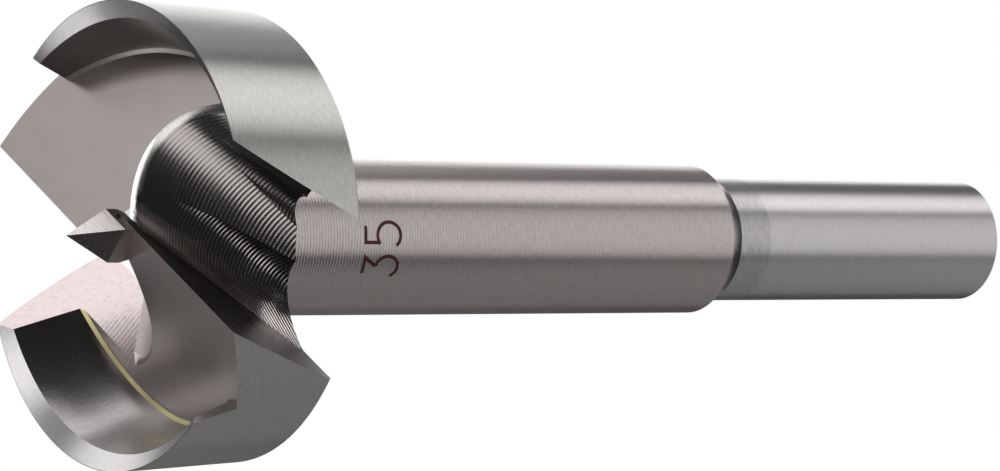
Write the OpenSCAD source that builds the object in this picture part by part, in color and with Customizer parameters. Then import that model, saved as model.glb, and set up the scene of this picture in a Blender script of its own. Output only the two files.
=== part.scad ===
// Forstner bit turned and milled from one bar of tool steel.
// The axis is Z, the flat end of the shank stands on Z = 0 and the centre point is on top.
// The two cutting edges run along X and the bit turns counter-clockwise seen from the point.

/* [Overall] */
// Length from the shank's end to the tip of the centre point
bit_length = 90; // [80:0.5:120]

/* [Shank] */
// Diameter of the shank
shank_d = 10; // [8:0.1:11]
// Length of the shank up to the neck
shank_length = 30.4; // [20:0.1:45]
// Chamfer on the shank's end
shank_chamfer = 0.4; // [0.1:0.05:1]

/* [Neck] */
// Diameter of the turned neck
neck_d = 12; // [11.5:0.1:13.5]
// Radius of the round groove under the neck
groove_radius = 1.5; // [1:0.1:2]
// Depth of the round groove in the shank
groove_depth = 0.28; // [0.1:0.02:0.5]
// Distance of the groove's deepest line from the neck
groove_set = 0.6; // [0.4:0.05:1]
// Chamfer on the neck's lower edge
neck_chamfer = 0.2; // [0.05:0.05:0.4]

/* [Head] */
// Diameter of the head at its rim
head_d = 35; // [33:0.5:38]
// Height of the head from its back to its rim
head_height = 10.7; // [9.5:0.05:13]
// Amount by which the head's diameter falls towards its back
back_taper = 0.92; // [0.2:0.02:1.5]
// Chamfer on the back edge of the head
back_chamfer = 0.35; // [0.1:0.05:0.6]
// Thickness of the rim half way between its ends
rim_wall = 1.2; // [0.9:0.05:2]
// Radius of the rim's inner wall at its foot
wall_radius = 18.3; // [17.5:0.1:20]
// Draft of the rim's inner wall, which thins the rim upwards
wall_draft = 2.5; // [0:0.5:4]
// Sideways set of the inner wall, which thins the rim at its back end
wall_shift = 0.2; // [0:0.05:0.4]
// Chamfer between the floor and the rim's inner wall
foot_chamfer = 0.25; // [0.15:0.05:0.8]
// Slope of the bevel that sharpens the rim from inside
bevel_angle = 36; // [20:1:40]
// Width of the land left outside the bevel
rim_land = 0.05; // [0.02:0.01:0.2]

/* [Cutters] */
// Depth of the two cutting edges below the rim
edge_drop = 0.1; // [0.05:0.05:0.4]
// Distance of each cutting edge ahead of the axis
edge_ahead = 1.88; // [1.8:0.02:2.2]
// Slope of the floor behind each cutting edge
flank_angle = 23.7; // [20:0.1:26]
// Gap along the floor from the cutting edge back to the rim's spur
spur_gap = 7.45; // [5:0.05:9]

/* [Chip flutes] */
// Lean of the rake face under each cutting edge
rake_angle = 23.1; // [18:0.1:27]
// Width of the flute between the rake face and the rim's back end
flute_width = 10.95; // [10:0.05:12]
// Radius of the main pass
main_radius = 8; // [7:0.1:10]
// Slope of the main pass, outwards from the rake face's fall
main_slope = 55.8; // [53:0.1:58]
// Reach of the main pass past the axis, on the other cutter's floor
main_reach = 3.35; // [3:0.05:3.8]
// Radius of the corner pass beside the rake face
corner_radius = 3.2; // [2.4:0.1:3.6]
// Amount by which the corner pass runs over the rake face
corner_overlap = 0.35; // [0.1:0.05:0.6]
// Slope of the corner pass, outwards from the rake face's fall
corner_slope = 49.7; // [47:0.1:52]
// Reach of the corner pass past the axis, on the other cutter's floor
corner_reach = 2.02; // [1.6:0.02:2.4]
// Radius of the end pass beside the rim's back end
end_radius = 1.6; // [1.2:0.1:2]
// Distance of the end pass from the rim's back end
end_inset = 3.2; // [2.6:0.1:3.6]
// Slope of the end pass, outwards from the rake face's fall
end_slope = 51.7; // [50:0.1:53]
// Reach of the end pass past the axis, on the other cutter's floor
end_reach = 2.04; // [1.8:0.02:2.2]
// Radius of the easing pass along the floor's edge
ease_radius = 15; // [12:0.5:18]
// Slope of the easing pass, outwards from the rake face's fall
ease_slope = 73; // [70:0.5:75]
// Width of the eased edge on the floor
ease_width = 0.7; // [0.4:0.05:0.9]

/* [Centre point] */
// Height of the tip above the rim
point_height = 3.9; // [3.4:0.1:5]
// Height of the point's straight sides above the rim
point_shoulder = 0.4; // [0.2:0.05:0.8]
// Thickness of the point across the cutting edges
point_thick = 3.33; // [2.8:0.01:3.4]
// Width of the point along the cutting edges
point_width = 3.03; // [2.6:0.01:3.2]
// Skew of the point's narrow faces
point_skew = 15.6; // [8:0.1:20]

/* [Hidden] */
$fn = 96;
// Cuts run past what they cut by this much
over = 1;
head_r = head_d / 2;
back_r = head_r - back_taper / 2;
shank_r = shank_d / 2;
neck_r = neck_d / 2;
rim_z = bit_length - point_height;
edge_z = rim_z - edge_drop;
back_z = rim_z - head_height;
// Length that clears the whole head from any side
reach = 2 * head_d;
// Depth of the other cutter's floor below the edge, at the foot of the rake face
floor_drop = 2 * edge_ahead * sin(flank_angle);
// Distance of the inner wall's centre ahead of the cutting edge, along the floor
wall_ahead = wall_radius + edge_drop * sin(flank_angle)
  - (head_r - rim_wall + edge_ahead) * cos(flank_angle);

// Half section of the bar as it leaves the lathe
module turned_section() {
  difference() {
    polygon([
      [0, 0],
      [shank_r - shank_chamfer, 0],
      [shank_r, shank_chamfer],
      [shank_r, shank_length + over],
      [0, shank_length + over]
    ]);
    translate([shank_r - groove_depth + groove_radius, shank_length - groove_set])
      circle(groove_radius);
  }
  polygon([
    [0, shank_length],
    [neck_r - neck_chamfer, shank_length],
    [neck_r, shank_length + neck_chamfer],
    [neck_r, back_z],
    [back_r - back_chamfer, back_z],
    [back_r, back_z + back_chamfer],
    [head_r, rim_z],
    [0, rim_z]
  ]);
}

// Frame of the floor that falls away behind a cutting edge
module on_floor() {
  translate([0, edge_ahead, edge_z])
    rotate([flank_angle, 0, 0])
      children();
}

// Frame of the flute: X out along the edge, Y off the rake face, Z up along it
module in_flute() {
  translate([0, edge_ahead, edge_z])
    rotate([-rake_angle, 0, 0])
      children();
}

// Places a cut on both sides of the axis
module both_sides() {
  for (turn = [0, 180])
    rotate([0, 0, turn])
      children();
}

// Open space from the cutting edge back to the rim's spur
module spur_space() {
  on_floor()
    translate([0, -spur_gap, -over])
      cube([reach, spur_gap + over, reach]);
}

// Space inside the rim's milled inner wall
module wall_space() {
  on_floor()
    translate([-wall_shift, wall_ahead, 0])
      rotate_extrude()
        polygon([
          [0, -over],
          [wall_radius - foot_chamfer - over, -over],
          [wall_radius, foot_chamfer],
          [wall_radius + (reach - foot_chamfer) * tan(wall_draft), reach],
          [0, reach]
        ]);
}

// Part of the head that belongs to one cutter and its rim
module cutter_side() {
  linear_extrude(bit_length)
    polygon([
      [0, reach],
      [reach, reach],
      [reach, -reach],
      [-reach, -reach],
      [-reach, -edge_ahead - over],
      [0, -edge_ahead - over]
    ]);
}

// Space over one floor, inside the rim and out through the gap before its spur
module pocket() {
  intersection() {
    cutter_side();
    on_floor()
      translate([-reach, -reach, 0])
        cube([2 * reach, 2 * reach, reach]);
    union() {
      wall_space();
      spur_space();
    }
  }
}

// Bevel round the inside of the rim, which stops short of the cutters
module rim_bevel() {
  inner = head_r - rim_wall - over;
  edge = head_r - rim_land;
  difference() {
    rotate_extrude()
      polygon([
        [inner, rim_z - (edge - inner) * tan(bevel_angle)],
        [edge + over, rim_z + over * tan(bevel_angle)],
        [inner, rim_z + over * tan(bevel_angle)]
      ]);
    both_sides()
      spur_space();
  }
}

// One straight pass of a round cutter that opens outwards, in the flute's frame
module milling_pass(radius, across, slope, nose) {
  rotate([0, -slope, 0])
    translate([nose + radius, across, -reach])
      linear_extrude(2 * reach) {
        circle(radius);
        translate([0, -radius])
          square([reach, 2 * radius]);
      }
}

// Depth of a pass whose bottom meets the other cutter's floor past the axis
function nose_at(past, slope) = -past * cos(slope) - floor_drop * sin(slope);

// Chip flute before one cutting edge, between its rake face and the rim's back end
module chip_flute() {
  middle = flute_width / 2;
  inner = main_reach + ease_width + over;
  in_flute()
    intersection() {
      translate([-inner, 0, -reach])
        cube([reach, flute_width, 2 * reach]);
      union() {
        milling_pass(main_radius, middle, main_slope, nose_at(main_reach, main_slope));
        milling_pass(corner_radius, corner_radius - corner_overlap, corner_slope,
          nose_at(corner_reach, corner_slope));
        milling_pass(end_radius, flute_width - end_inset, end_slope, nose_at(end_reach, end_slope));
        milling_pass(ease_radius, middle, ease_slope, nose_at(main_reach + ease_width, ease_slope));
      }
    }
}

// Upright prism with a roof-shaped top, as thick as asked
module roof_prism(thick) {
  rotate([90, 0, 90])
    translate([0, 0, -point_thick])
      linear_extrude(2 * point_thick)
        polygon([
          [-thick / 2, edge_z - 2 * floor_drop],
          [thick / 2, edge_z - 2 * floor_drop],
          [thick / 2, rim_z + point_shoulder],
          [0, bit_length],
          [-thick / 2, rim_z + point_shoulder]
        ]);
}

// Four-sided centre point on a short post between the cutters
module centre_point() {
  intersection() {
    roof_prism(point_thick);
    rotate([0, 0, 90 - point_skew])
      roof_prism(point_width);
  }
}

module bit_body() {
  color("#a8a4a3")
    difference() {
      union() {
        difference() {
          rotate_extrude()
            turned_section();
          rim_bevel();
          both_sides()
            pocket();
        }
        centre_point();
      }
      both_sides()
        chip_flute();
    }
}

bit_body();
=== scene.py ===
from math import acos, asin, ceil, cos, pi, radians, sin, tan

import bmesh
import bpy
from mathutils import Matrix, Vector


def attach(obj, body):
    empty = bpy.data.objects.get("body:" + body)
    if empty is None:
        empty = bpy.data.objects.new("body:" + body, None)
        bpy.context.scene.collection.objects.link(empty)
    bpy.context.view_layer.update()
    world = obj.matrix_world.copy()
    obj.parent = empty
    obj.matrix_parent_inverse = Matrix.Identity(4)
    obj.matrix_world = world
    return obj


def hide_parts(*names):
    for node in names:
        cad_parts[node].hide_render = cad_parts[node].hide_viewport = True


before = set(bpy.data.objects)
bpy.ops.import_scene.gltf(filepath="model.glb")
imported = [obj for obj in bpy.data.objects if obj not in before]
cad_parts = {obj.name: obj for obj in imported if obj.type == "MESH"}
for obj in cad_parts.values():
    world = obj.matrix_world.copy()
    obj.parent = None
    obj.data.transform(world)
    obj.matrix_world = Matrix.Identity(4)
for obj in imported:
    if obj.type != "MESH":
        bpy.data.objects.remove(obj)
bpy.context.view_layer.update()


# View
# The bit stands on its shank, and the photograph shows it lying with its point to the left,
# so the camera looks down at it and is turned a quarter on its side.
MM = 0.001
view_elevation = radians(37.48)
view_bearing = radians(-150.9)
view_roll = radians(0.367)
view_distance = 347.285 * MM
view_height = 49.81 * MM
view_offset = 0.203 * MM

near_side = Vector((cos(view_bearing), sin(view_bearing), 0))
upper_side = Vector((-sin(view_bearing), cos(view_bearing), 0))
tip_side = Vector((0, 0, 1))
backward = near_side * cos(view_elevation) + tip_side * sin(view_elevation)
plain_right = upper_side.cross(backward)
picture_right = plain_right * cos(view_roll) + upper_side * sin(view_roll)
picture_up = upper_side * cos(view_roll) - plain_right * sin(view_roll)

camera_data = bpy.data.cameras.new("camera")
camera_data.sensor_width = 36
camera_data.lens = 158.17
camera_data.clip_start = 10 * MM
camera = bpy.data.objects.new("camera", camera_data)
camera.matrix_world = Matrix((
    (*picture_right, 0),
    (*picture_up, 0),
    (*backward, 0),
    (0, 0, 0, 1),
)).transposed()
camera.location = tip_side * view_height + picture_up * view_offset + backward * view_distance
bpy.context.scene.collection.objects.link(camera)
bpy.context.scene.camera = camera
bpy.context.scene.view_settings.view_transform = "Standard"


# Turned bar
# One bar of tool steel, turned on a lathe: a thin shank, a thicker neck and the wide head.
# The shank and the head's outside are then ground, and the neck keeps its turning rings.
bit_length = 90
shank_r = 5
shank_length = 30.4
shank_chamfer = 0.4
ground_length = 25.8
groove_radius = 1.5
groove_depth = 0.28
groove_set = 0.6
groove_steps = 10
neck_r = 6
neck_chamfer = 0.2
head_r = 17.5
head_height = 10.7
back_taper_r = 0.46
back_chamfer = 0.35
point_height = 3.9
rim_z = bit_length - point_height
back_z = rim_z - head_height


def linear(code):
    """Turns an sRGB hex colour into the linear colour that the shaders take."""
    shares = [int(code[i:i + 2], 16) / 255 for i in (1, 3, 5)]
    return (*[s / 12.92 if s <= 0.04045 else ((s + 0.055) / 1.055) ** 2.4 for s in shares], 1)


def add(material, kind, settings, feeds):
    """Adds a node to a material, with its own settings and the values or sockets that feed it."""
    tree = material.node_tree
    node = tree.nodes.new("ShaderNode" + kind)
    for name, value in settings.items():
        setattr(node, name, value)
    for name, value in feeds.items():
        if isinstance(value, bpy.types.NodeSocket):
            tree.links.new(value, node.inputs[name])
        else:
            node.inputs[name].default_value = value
    return node.outputs


def bare_steel(name, roughness, ringed=0):
    """Starts a bare steel finish. Ringed steel has marks round the axis, which spread its light along Z."""
    material = bpy.data.materials.new(name)
    material.use_nodes = True
    shader = material.node_tree.nodes["Principled BSDF"]
    shader.inputs["Metallic"].default_value = 1
    shader.inputs["Roughness"].default_value = roughness
    if ringed:
        shader.inputs["Anisotropic"].default_value = ringed
        shader.inputs["Anisotropic Rotation"].default_value = 0.25
        ring_way = add(material, "Tangent", {"direction_type": "RADIAL", "axis": "Z"}, {})["Tangent"]
        material.node_tree.links.new(ring_way, shader.inputs["Tangent"])
    return material


def dress(material, height, depth, dark, light, tone):
    """Gives a finish the relief of its marks, and a colour between two that follows a tone."""
    tree = material.node_tree
    shader = tree.nodes["Principled BSDF"]
    relief = add(material, "Bump", {}, {"Strength": 1, "Distance": depth * MM, "Height": height})["Normal"]
    colour = add(material, "MixRGB", {}, {"Fac": tone, "Color1": linear(dark), "Color2": linear(light)})
    tree.links.new(relief, shader.inputs["Normal"])
    tree.links.new(colour["Color"], shader.inputs["Base Color"])


def places(material):
    """Gives the x, y and z of a point on the bit, in millimetres."""
    metres = add(material, "TexCoord", {}, {})["Object"]
    scaled = add(material, "VectorMath", {"operation": "SCALE"}, {0: metres, "Scale": 1 / MM})["Vector"]
    return add(material, "SeparateXYZ", {}, {"Vector": scaled})


def reckon(material, way, first, second=0.0):
    """Works out one sum on the way to a pattern."""
    return add(material, "Math", {"operation": way}, {0: first, 1: second})["Value"]


def scratches(material, radius, length, width):
    """Gives short scratches round the axis, of a length and width in millimetres."""
    spot = places(material)
    turn = reckon(material, "ARCTAN2", spot["Y"], spot["X"])
    along = reckon(material, "MULTIPLY", turn, radius / length)
    across = reckon(material, "DIVIDE", spot["Z"], width)
    flat = add(material, "CombineXYZ", {}, {"X": along, "Y": across})["Vector"]
    noise = {"Vector": flat, "Scale": 1, "Detail": 2, "Roughness": 0.6}
    return add(material, "TexNoise", {"noise_dimensions": "2D"}, noise)["Fac"]


def grain(material, size, detail=2):
    """Gives an even grain of a size in millimetres."""
    metres = add(material, "TexCoord", {}, {})["Object"]
    noise = {"Vector": metres, "Scale": 1 / (size * MM), "Detail": detail}
    return add(material, "TexNoise", {}, noise)["Fac"]


def solid(name, points, faces, finishes):
    """Makes a mesh from points and faces, with one finish for each face."""
    mesh = bpy.data.meshes.new(name)
    mesh.from_pydata(points, [], faces)
    used = list(dict.fromkeys(finishes))
    for finish in used:
        mesh.materials.append(finish)
    for face, finish in zip(mesh.polygons, finishes):
        face.material_index = used.index(finish)
    made = bpy.data.objects.new(name, mesh)
    bpy.context.scene.collection.objects.link(made)
    return made


def lathe(name, outline, finishes, steps=240):
    """Turns (radius, height) points about Z. Each finish covers the stretch to the next point."""
    points, rings = [], []
    for radius, height in outline:
        first = len(points)
        if radius == 0:
            points.append((0, 0, height))
            rings.append([first] * steps)
        else:
            turns = [2 * pi * i / steps for i in range(steps)]
            points += [(radius * cos(t), radius * sin(t), height) for t in turns]
            rings.append([first + i for i in range(steps)])
    faces, face_finishes = [], []
    for low, high, finish in zip(rings, rings[1:] + rings[:1], finishes):
        for i in range(steps):
            k = (i + 1) % steps
            faces.append(list(dict.fromkeys([low[i], low[k], high[k], high[i]])))
            face_finishes.append(finish)
    return solid(name, points, faces, face_finishes)


# Ground shank steel: short fine scratches round the axis spread its highlights into soft bands.
ground_shank = bare_steel("ground_shank_steel", 0.34, ringed=0.6)
shank_scratch = scratches(ground_shank, shank_r, 0.7, 0.16)
dress(ground_shank, shank_scratch, 0.005, "#b1adaf", "#cbc7c9", shank_scratch)

# Turned neck steel: even rings left by the tool's feed, clearest by the head, and small dark specks.
ring_pitch = 0.27
speck_spacing = 1.1
turned_neck = bare_steel("turned_neck_steel", 0.33, ringed=0.75)
neck_spot = places(turned_neck)
ring = reckon(turned_neck, "SINE", reckon(turned_neck, "MULTIPLY", neck_spot["Z"], 2 * pi / ring_pitch))
clear = add(turned_neck, "MapRange", {}, {
    "Value": neck_spot["Z"],
    "From Min": shank_length,
    "From Max": back_z - neck_r,
    "To Min": 0.25,
    "To Max": 1,
})["Result"]
ring = reckon(turned_neck, "MULTIPLY", ring, clear)
specks = add(turned_neck, "TexVoronoi", {}, {
    "Vector": add(turned_neck, "TexCoord", {}, {})["Object"],
    "Scale": 1 / (speck_spacing * MM),
})
speck = add(turned_neck, "MapRange", {}, {
    "Value": specks["Distance"],
    "From Min": 0.05,
    "From Max": 0.1,
    "To Min": -1.4,
    "To Max": 0,
})["Result"]
neck_scratch = scratches(turned_neck, neck_r, 0.8, 0.2)
# The rings also tint the colour: darker in each groove and lighter on each crest, a painted shade and
# painted highlight along them.
ring_shade_and_scratch_tone = reckon(turned_neck, "ADD", reckon(turned_neck, "MULTIPLY", ring, 0.25), neck_scratch)
dress(turned_neck, ring, 0.005, "#a8a19f", "#c6bebc", reckon(turned_neck, "ADD", ring_shade_and_scratch_tone, speck))

# Turned seat steel: the stretch beside the groove was not ground, so it is duller and darker.
turned_seat = bare_steel("turned_seat_steel", 0.36, ringed=0.7)
seat_scratch = scratches(turned_seat, shank_r, 1.2, 0.25)
dress(turned_seat, seat_scratch, 0.006, "#9c9899", "#cbc7c8", seat_scratch)

# Ground head steel: a coarser wheel than the shank's leaves longer scratches round the rim.
ground_head = bare_steel("ground_head_steel", 0.33, ringed=0.8)
head_scratch = scratches(ground_head, head_r, 0.9, 0.16)
dress(ground_head, head_scratch, 0.004, "#a5a3a0", "#c9c7c4", head_scratch)

groove_start = -acos(1 - groove_depth / groove_radius)
groove_end = asin(groove_set / groove_radius)
groove_turns = [
    groove_start + (groove_end - groove_start) * i / groove_steps
    for i in range(groove_steps + 1)
]
groove_r = shank_r - groove_depth + groove_radius
groove = [
    (groove_r - groove_radius * cos(turn), shank_length - groove_set + groove_radius * sin(turn))
    for turn in groove_turns
]
bar_outline = [
    (0, 0),
    (shank_r - shank_chamfer, 0),
    (shank_r, shank_chamfer),
    (shank_r, ground_length),
    *groove,
    (neck_r - neck_chamfer, shank_length),
    (neck_r, shank_length + neck_chamfer),
    (neck_r, back_z),
    (head_r - back_taper_r - back_chamfer, back_z),
    (head_r - back_taper_r, back_z + back_chamfer),
    (head_r, rim_z),
    (0, rim_z),
]
bar_finishes = [
    *[ground_shank] * 3,
    *[turned_seat] * len(groove),
    *[turned_neck] * 3,
    *[ground_head] * 4,
]
bit = lathe("bit", bar_outline, bar_finishes)


# Cutters and rim
# Two pockets milled into the head leave a sloping floor behind each cutting edge and a thin rim
# round it. A small sloping strip fills the rim's foot, and a bevel sharpens the rim from inside.
edge_drop = 0.1
edge_z = rim_z - edge_drop
edge_ahead = 1.88
flank_angle = radians(23.7)
spur_gap = 7.45
rim_wall = 1.2
rim_land = 0.05
bevel_angle = radians(36)
wall_radius = 18.3
wall_draft = radians(2.5)
wall_shift = 0.2
foot_chamfer = 0.25
over = 1
far = 4 * head_r
wall_top = wall_radius + (far - foot_chamfer) * tan(wall_draft)
rim_inside = head_r - rim_wall
wall_ahead = wall_radius + edge_drop * sin(flank_angle) - (rim_inside + edge_ahead) * cos(flank_angle)
floor_frame = Matrix.Translation((0, edge_ahead, edge_z)) @ Matrix.Rotation(flank_angle, 4, "X")
half_turn = Matrix.Rotation(pi, 4, "Z")


def prism(name, outline, low, high, finish, base_finish=None):
    """Draws an outline of (x, y) points, counter-clockwise, up from one height to another."""
    count = len(outline)
    points = [(x, y, z) for z in (low, high) for x, y in outline]
    faces = [list(range(count))[::-1], list(range(count, 2 * count))]
    faces += [[i, (i + 1) % count, count + (i + 1) % count, count + i] for i in range(count)]
    return solid(name, points, faces, [base_finish or finish] + [finish] * (count + 1))


def block(name, low, high, finish, base_finish=None):
    """Makes a box from its two corners."""
    outline = [(low[0], low[1]), (high[0], low[1]), (high[0], high[1]), (low[0], high[1])]
    return prism(name, outline, low[2], high[2], finish, base_finish)


def carve(piece, tool, way="DIFFERENCE"):
    """Cuts a piece by a tool, joins them or keeps what they share. The tool's finish comes along."""
    step = piece.modifiers.new("carve", "BOOLEAN")
    step.operation = way
    step.solver = "EXACT"
    step.material_mode = "TRANSFER"
    step.object = tool
    result = piece.evaluated_get(bpy.context.evaluated_depsgraph_get())
    carved = bpy.data.meshes.new_from_object(result)
    piece.modifiers.clear()
    piece.data = carved
    bpy.data.objects.remove(tool)
    return piece


def set_in(frame_matrix, piece):
    """Moves a piece's mesh into a frame."""
    piece.data.transform(frame_matrix)
    return piece


# Milled floor steel: flat and even, with a faint grain that the eye reads as satin.
milled_floor = bare_steel("milled_floor_steel", 0.3)
floor_grain = grain(milled_floor, 0.35)
dress(milled_floor, floor_grain, 0.002, "#aaa19e", "#b8afac", grain(milled_floor, 2.5))

# Milled wall steel: the side of the cutter leaves a mottled, slightly rippled face.
milled_wall = bare_steel("milled_wall_steel", 0.28)
wall_grain = grain(milled_wall, 0.3, detail=3)
dress(milled_wall, wall_grain, 0.012, "#9d9a99", "#bab6b5", wall_grain)

# Strip steel: the foot of the wall is painted pale, a painted highlight where the small sloping strip
# catches the light. One side's line is tinted straw yellow.
painted_highlight_strip = bare_steel("strip_steel_painted_highlight", 0.32)
strip_grain = grain(painted_highlight_strip, 0.8)
straw = add(painted_highlight_strip, "MapRange", {}, {
    "Value": places(painted_highlight_strip)["Y"],
    "From Min": -2,
    "From Max": 2,
    "To Min": 1,
    "To Max": 0,
})["Result"]
dress(painted_highlight_strip, strip_grain, 0.004, "#d8cc9c", "#dcd8d2", straw)

# Ground bevel steel: smooth, with an even light.
ground_bevel = bare_steel("ground_bevel_steel", 0.3, ringed=0.3)
bevel_scratch = scratches(ground_bevel, head_r, 0.9, 0.16)
dress(ground_bevel, bevel_scratch, 0.002, "#b3b0b1", "#c6c3c4", bevel_scratch)

bevel_inner = rim_inside - over
bevel_edge = head_r - rim_land
bevel_ring = lathe(
    "bevel_ring",
    [
        (bevel_inner, rim_z - (bevel_edge - bevel_inner) * tan(bevel_angle)),
        (bevel_edge + over, rim_z + over * tan(bevel_angle)),
        (bevel_inner, rim_z + over * tan(bevel_angle)),
    ],
    [ground_bevel] * 3,
)
for turn in (Matrix.Identity(4), half_turn):
    gap = block("gap", (0, -spur_gap, -over), (far, over, far), ground_bevel)
    carve(bevel_ring, set_in(turn @ floor_frame, gap))
carve(bit, bevel_ring)

for turn in (Matrix.Identity(4), half_turn):
    pocket = lathe(
        "pocket",
        [(0, 0), (wall_radius - foot_chamfer, 0), (wall_radius, foot_chamfer), (wall_top, far), (0, far)],
        [milled_floor, painted_highlight_strip, milled_wall, milled_wall],
    )
    set_in(Matrix.Translation((-wall_shift, wall_ahead, 0)), pocket)
    gap = block("gap", (0, -spur_gap, 0), (far, over, far), milled_wall, milled_floor)
    set_in(floor_frame, carve(pocket, gap, "UNION"))
    cutter_side = prism(
        "cutter_side",
        [
            (0, far),
            (0, -edge_ahead - over),
            (-far, -edge_ahead - over),
            (-far, -far),
            (far, -far),
            (far, far),
        ],
        0,
        bit_length + over,
        milled_wall,
    )
    carve(pocket, cutter_side, "INTERSECT")
    carve(bit, set_in(turn, pocket))


# Centre point
# The four-sided point that holds the bit on its mark stands between the cutters.
# Its faces are ground, and fine scratches run round it.
point_shoulder = 0.4
point_thick = 3.33
point_width = 3.03
point_skew = radians(15.6)
floor_drop = 2 * edge_ahead * sin(flank_angle)

# Ground point steel: faces this small show each scratch as a fine line.
ground_point = bare_steel("ground_point_steel", 0.28)
point_scratch = scratches(ground_point, point_thick, 3, 0.18)
dress(ground_point, point_scratch, 0.01, "#a19a98", "#cbc4c2", point_scratch)


def roof_prism(thick, turn):
    """Makes an upright prism with a roof-shaped top, turned about Z."""
    outline = [
        (-thick / 2, edge_z - 2 * floor_drop),
        (thick / 2, edge_z - 2 * floor_drop),
        (thick / 2, rim_z + point_shoulder),
        (0, bit_length),
        (-thick / 2, rim_z + point_shoulder),
    ]
    lay = Matrix.Rotation(turn, 4, "Z") @ Matrix(((0, 0, 1, 0), (1, 0, 0, 0), (0, 1, 0, 0), (0, 0, 0, 1)))
    return set_in(lay, prism("roof_prism", outline, -point_thick, point_thick, ground_point))


centre_point = roof_prism(point_thick, 0)
carve(centre_point, roof_prism(point_width, pi / 2 - point_skew), "INTERSECT")
carve(bit, centre_point, "UNION")


# Chip flutes
# Before each cutting edge a flute lets the chips out. It is milled by straight passes of round
# cutters that fall outwards: a wide one, two narrow ones and flat ones that round the floor's edge.
rake_angle = radians(23.1)
flute_width = 10.95
main_radius, main_slope, main_reach = 8, radians(55.8), 3.35
corner_radius, corner_slope, corner_reach = 3.2, radians(49.7), 2.02
corner_overlap = 0.35
end_radius, end_slope, end_reach = 1.6, radians(51.7), 2.04
end_inset = 3.2
ease_width = 0.7
ease_passes = 5
flute_frame = Matrix.Translation((0, edge_ahead, edge_z)) @ Matrix.Rotation(-rake_angle, 4, "X")
arc_steps = 96
# The face of the milled slot that becomes the rake face, by its place in the block
rake_side = 2

# Milled flute steel: fine even lines across each pass, one for each tooth of the cutter, clearest by
# the neck. They are drawn coarser than the real ones, which are too fine to show in the render.
mark_pitch = 0.19
milled_flute = bare_steel("milled_flute_steel", 0.22)
flute_spot = places(milled_flute)
flute_out = reckon(milled_flute, "ABSOLUTE", flute_spot["Y"])
down_rake = reckon(milled_flute, "ADD",
    reckon(milled_flute, "MULTIPLY", flute_out, sin(rake_angle)),
    reckon(milled_flute, "MULTIPLY", flute_spot["Z"], cos(rake_angle)))
mark = reckon(milled_flute, "SINE", reckon(milled_flute, "MULTIPLY", down_rake, 2 * pi / mark_pitch))
off_rake = reckon(milled_flute, "SUBTRACT",
    reckon(milled_flute, "MULTIPLY", flute_out, cos(rake_angle)),
    reckon(milled_flute, "MULTIPLY", flute_spot["Z"], sin(rake_angle)))
rake_face = edge_ahead * cos(rake_angle) - edge_z * sin(rake_angle)
near_rake = add(milled_flute, "MapRange", {}, {
    "Value": off_rake,
    "From Min": rake_face + 3.5,
    "From Max": rake_face + 7.5,
    "To Min": 1.6,
    "To Max": 0.4,
})["Result"]
near_neck = add(milled_flute, "MapRange", {}, {
    "Value": flute_spot["Z"],
    "From Min": back_z + 1,
    "From Max": rim_z - 3,
    "To Min": 1.3,
    "To Max": 0.1,
})["Result"]
clear_marks = reckon(milled_flute, "MULTIPLY", near_rake, near_neck)
clear_marks = reckon(milled_flute, "MULTIPLY", clear_marks, grain(milled_flute, 2))
mark = reckon(milled_flute, "MULTIPLY", mark, clear_marks)
# The lines also tint the colour: lighter along each ridge and darker in each groove, a painted glint and
# painted shade on top of their relief.
dress(milled_flute, mark, 0.011, "#8f8987", "#d3ccca", reckon(milled_flute, "ADD", mark, 0.5))

# Eased edge steel: the flat passes leave no lines, so the edge is a plain soft band of light.
# Its colour is painted paler than the other steel, a painted highlight along the band.
eased_edge = bare_steel("eased_edge_steel_painted_bright", 0.25)
ease_grain = grain(eased_edge, 0.3)
dress(eased_edge, ease_grain, 0.003, "#d3d0cc", "#ebe9e5", ease_grain)

# Rake steel: one smooth pass with a faint grain. Its colour is painted dark, a painted shade for the dim
# light that its face mirrors.
rake_painted_dark = bare_steel("rake_steel_painted_dark", 0.26)
rake_grain = grain(rake_painted_dark, 0.4)
dress(rake_painted_dark, rake_grain, 0.002, "#5e5b5b", "#686565", rake_grain)

# Milled end steel: the wall at the rim's back end, smooth and slightly pink. Towards the middle, where
# the cutter stopped, it left a patch of dark slanted lines.
line_pitch = 0.34
line_out, line_up = 0.79, 0.61
patch_raggedness = 3
milled_end = bare_steel("milled_end_steel", 0.26)
end_grain = grain(milled_end, 0.4)
end_spot = places(milled_end)
out = reckon(milled_end, "ABSOLUTE", end_spot["X"])
slant = reckon(milled_end, "ADD",
    reckon(milled_end, "MULTIPLY", out, line_out), reckon(milled_end, "MULTIPLY", end_spot["Z"], line_up))
line = reckon(milled_end, "SINE", reckon(milled_end, "MULTIPLY", slant, 2 * pi / line_pitch))
ragged = reckon(milled_end, "MULTIPLY", grain(milled_end, 1.5), patch_raggedness)
patch = add(milled_end, "MapRange", {}, {
    "Value": reckon(milled_end, "ADD", out, ragged),
    "From Min": 6.8,
    "From Max": 8.6,
    "To Min": 0.8,
    "To Max": 0,
})["Result"]
line = reckon(milled_end, "MULTIPLY", reckon(milled_end, "MAXIMUM", line, 0), patch)
end_tone = reckon(milled_end, "SUBTRACT", reckon(milled_end, "ADD", end_grain, 0.5), line)
dress(milled_end, end_grain, 0.002, "#857a79", "#b9adac", end_tone)


def milling_pass(radius, across, slope, past, finish):
    """Makes the space that one pass cuts, in the flute's frame."""
    nose = -past * cos(slope) - floor_drop * sin(slope)
    turns = [pi / 2 + pi * i / arc_steps for i in range(arc_steps + 1)]
    outline = [(far, -radius), (far, radius)] + [(radius * cos(t), radius * sin(t)) for t in turns]
    space = prism("pass", outline, -far, far, finish)
    lay = Matrix.Rotation(-slope, 4, "Y") @ Matrix.Translation((nose + radius, across, 0))
    return set_in(lay, space)


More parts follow.
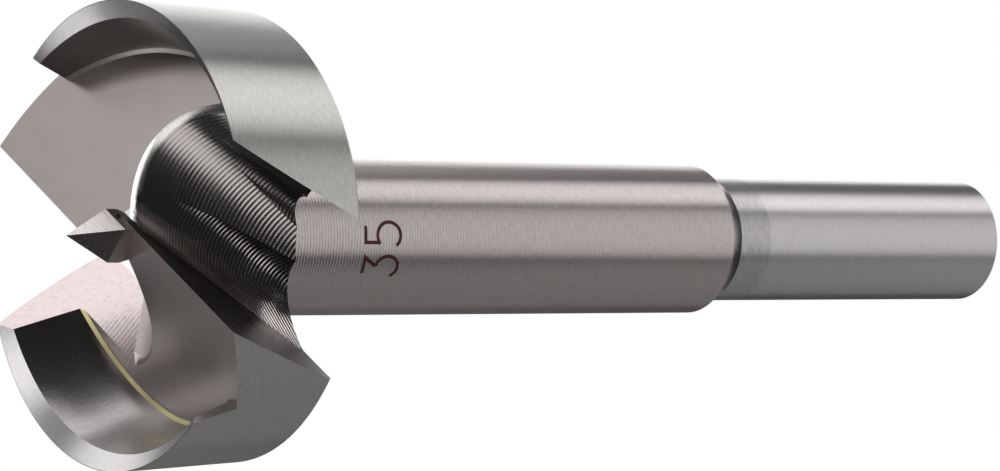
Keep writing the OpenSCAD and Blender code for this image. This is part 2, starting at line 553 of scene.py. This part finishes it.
def easing_pass(share):
    """Makes one of the flat passes that round the floor's edge, at a share of the main pass's fall."""
    whole = pi / 2 - main_slope
    fall = share * whole
    radius = main_radius * sin(whole) / sin(fall)
    past = main_reach + ease_width * (1 - tan(fall / 2) / tan(whole / 2))
    return milling_pass(radius, flute_width / 2, pi / 2 - fall, past, eased_edge)


corner_across = corner_radius - corner_overlap
end_across = flute_width - end_inset
for turn in (Matrix.Identity(4), half_turn):
    set_in((turn @ flute_frame).inverted(), bit)
    for cut in (
        milling_pass(main_radius, flute_width / 2, main_slope, main_reach, milled_flute),
        milling_pass(corner_radius, corner_across, corner_slope, corner_reach, milled_flute),
        milling_pass(end_radius, end_across, end_slope, end_reach, milled_flute),
        *[easing_pass((i + 1) / (ease_passes + 1)) for i in range(ease_passes)],
    ):
        inner = -main_reach - ease_width - over
        slot = block("slot", (inner, 0, -far), (far, flute_width, far), milled_end)
        slot.data.materials.append(rake_painted_dark)
        slot.data.polygons[rake_side].material_index = 1
        carve(bit, carve(cut, slot, "INTERSECT"))
    set_in(turn @ flute_frame, bit)

# The finished bit takes the place of the plain solid. Its sharp edges and those of its large flat
# faces are kept crisp.
crisp = radians(19)
flat_within = radians(0.2)
weld = 0.001
flat_area = 8
cleaned = bmesh.new()
cleaned.from_mesh(bit.data)
bmesh.ops.remove_doubles(cleaned, verts=cleaned.verts, dist=weld)
bmesh.ops.dissolve_limit(
    cleaned,
    angle_limit=flat_within,
    verts=cleaned.verts,
    edges=cleaned.edges,
    delimit={"MATERIAL"},
)
cleaned.normal_update()
flats = {face for face in cleaned.faces if face.calc_area() > flat_area and len(face.verts) > 4}
for face in cleaned.faces:
    face.smooth = True
for edge in cleaned.edges:
    sides = edge.link_faces
    edge.smooth = len(sides) == 2 and flats.isdisjoint(sides) and edge.calc_face_angle() < crisp
cleaned.to_mesh(bit.data)
cleaned.free()
bit.data.transform(Matrix.Scale(MM, 4))
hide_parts("bit_body")
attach(bit, "root")


# Size number
# The head's diameter in millimetres is etched into the neck, close to the head.
# The acid leaves a dull dark brown line in the bright steel.
number_step = 0.15
bowl_steps = 20
number_line = 0.28
number_depth = 0.02
number_proud = 0.004
mitre_limit = 0.4

# Etched brown steel: dull, from nearly black to rust brown along the lines.
etched_brown = bare_steel("etched_brown_steel", 0.55)
etch_grain = grain(etched_brown, 0.5)
dress(etched_brown, etch_grain, 0.004, "#2c2422", "#6d463d", etch_grain)


def neck_point(turn, height, radius):
    """Gives a point at a turn in degrees about the neck, counted from the viewer's side."""
    angle = view_bearing + radians(turn)
    return Vector((radius * cos(angle), radius * sin(angle), height))


def bowl(middle, height, half_width, half_height, start, end):
    """Gives the points of a digit's round stroke, as part of an ellipse."""
    angles = [radians(start + (end - start) * i / bowl_steps) for i in range(bowl_steps + 1)]
    return [(middle + half_width * cos(a), height + half_height * sin(a)) for a in angles]


def etched_stroke(name, line):
    """Makes a thin closed strip along a line of (turn, height) points on the neck."""
    corners = [Vector((radians(turn) * neck_r, height)) for turn, height in line]
    flat = [corners[0]]
    for start, end in zip(corners, corners[1:]):
        steps = ceil((end - start).length / number_step)
        flat += [start.lerp(end, (i + 1) / steps) for i in range(steps)]
    edges = []
    for i, here in enumerate(flat):
        before = (here - flat[max(i - 1, 0)]).normalized() if i else (flat[1] - here).normalized()
        after = (flat[min(i + 1, len(flat) - 1)] - here).normalized() if i < len(flat) - 1 else before
        along = (before + after).normalized()
        side = Vector((-along.y, along.x)) * number_line / 2 / max(along.dot(before), mitre_limit)
        edges.append((here + side, here - side))
    points = []
    for left, right in edges:
        for spot, radius in ((left, neck_r + number_proud), (right, neck_r + number_proud),
                             (right, neck_r - number_depth), (left, neck_r - number_depth)):
            points.append(neck_point(spot.x / neck_r * 180 / pi, spot.y, radius))
    faces = [[3, 2, 1, 0], [4 * len(edges) - 4 + k for k in range(4)]]
    for i in range(len(edges) - 1):
        for k in range(4):
            here, beside = 4 * i + k, 4 * i + (k + 1) % 4
            faces.append([here, beside, beside + 4, here + 4])
    return solid(name, points, faces, [etched_brown] * len(faces))


strokes = [
    etched_stroke("three_top", [(-26.9, 67.1), (-14.6, 67.1), (-21.3, 65.99)]),
    etched_stroke("three_bowl", bowl(-22, 64.95, 8.2, 1.04, 85, -150)),
    etched_stroke("five_top", [(8.4, 67.17), (-3.7, 67.17), (-3.7, 65.79)]),
    etched_stroke("five_bowl", bowl(1.5, 64.99, 9.8, 1.08, 130, -140)),
]
for stroke in strokes:
    stroke.data.transform(Matrix.Scale(MM, 4))
    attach(stroke, "root")


# Floor
# A plain white sheet, three metres to each side, that rises at its edge. It glows evenly, so that it
# shows no edge and no shadow, and the steel doesn't mirror it.
floor_half = 3
floor_white = bpy.data.materials.new("white_sheet")
floor_white.use_nodes = True
floor_shader = floor_white.node_tree.nodes["Principled BSDF"]
floor_shader.inputs["Base Color"].default_value = (0, 0, 0, 1)
floor_shader.inputs["Specular IOR Level"].default_value = 0
floor_shader.inputs["Emission Color"].default_value = (1, 1, 1, 1)
floor_shader.inputs["Emission Strength"].default_value = 1
floor = lathe("floor", [(0, 0), (floor_half, 0), (floor_half, floor_half)], [floor_white] * 2)
floor.visible_glossy = False
floor.visible_diffuse = False
floor.visible_shadow = False


# Studio light
# Round softboxes hang about the bit, at a distance in metres. Most hang where one of its faces mirrors
# them to the camera. The rest fill in from the tip, from the shank's end and from below.
light_distance = 1
ease_lean = 0.25
room_grey = 0.02
floor_normal = floor_frame.to_3x3() @ tip_side
other_floor_normal = half_turn.to_3x3() @ floor_normal
ease_normal = (floor_normal + near_side * ease_lean).normalized()
end_wall_normal = flute_frame.to_3x3() @ Vector((0, -1, 0))
pocket_normal = (upper_side - other_floor_normal * upper_side.dot(other_floor_normal)).normalized()


def mirrored(normal):
    """Gives the direction that a face with this normal mirrors to the camera."""
    return 2 * normal.dot(backward) * normal - backward


def side_normal(turn):
    """Gives the normal of the bar's side, at a turn in degrees up from the viewer's side."""
    return near_side * cos(radians(turn)) + upper_side * sin(radians(turn))


def bevel_normal(turn):
    """Gives the normal of the rim's inside bevel, at a turn counted in the same way."""
    return tip_side * cos(bevel_angle) - side_normal(turn) * sin(bevel_angle)


# Each softbox has its direction, half its spread in degrees and its radiance.
softboxes = {
    "floor": (mirrored(floor_normal), 8, 1.4),
    "eased_edge": (mirrored(ease_normal), 14, 2.2),
    "end_wall": (mirrored(end_wall_normal), 18, 2),
    "pocket_wall": (mirrored(pocket_normal), 22, 1.7),
    "upper_bevel": (mirrored(bevel_normal(110)), 16, 1.3),
    "lower_bevel": (mirrored(bevel_normal(-90)), 20, 1.6),
    "upper_band": (mirrored(side_normal(37)), 16, 2.1),
    "middle_band": (mirrored(side_normal(5)), 30, 0.9),
    "lower_band": (mirrored(side_normal(-40)), 35, 0.28),
    "tip": (tip_side, 18, 1.2),
    "shank_end": (-tip_side, 35, 0.6),
    "underneath": (-upper_side - near_side, 35, 0.25),
}
for name, (way, spread, radiance) in softboxes.items():
    way = way.normalized()
    radius = light_distance * tan(radians(spread))
    light_data = bpy.data.lights.new(name, "AREA")
    light_data.shape = "DISK"
    light_data.size = 2 * radius
    light_data.energy = radiance * pi * pi * radius ** 2
    light = bpy.data.objects.new(name, light_data)
    light.location = way * light_distance + tip_side * rim_z * MM
    light.rotation_euler = way.to_track_quat("Z", "Y").to_euler()
    light.visible_camera = False
    bpy.context.scene.collection.objects.link(light)

room = bpy.data.worlds.new("room")
room.use_nodes = True
room.node_tree.nodes["Background"].inputs["Color"].default_value = (room_grey, room_grey, room_grey, 1)
bpy.context.scene.world = room
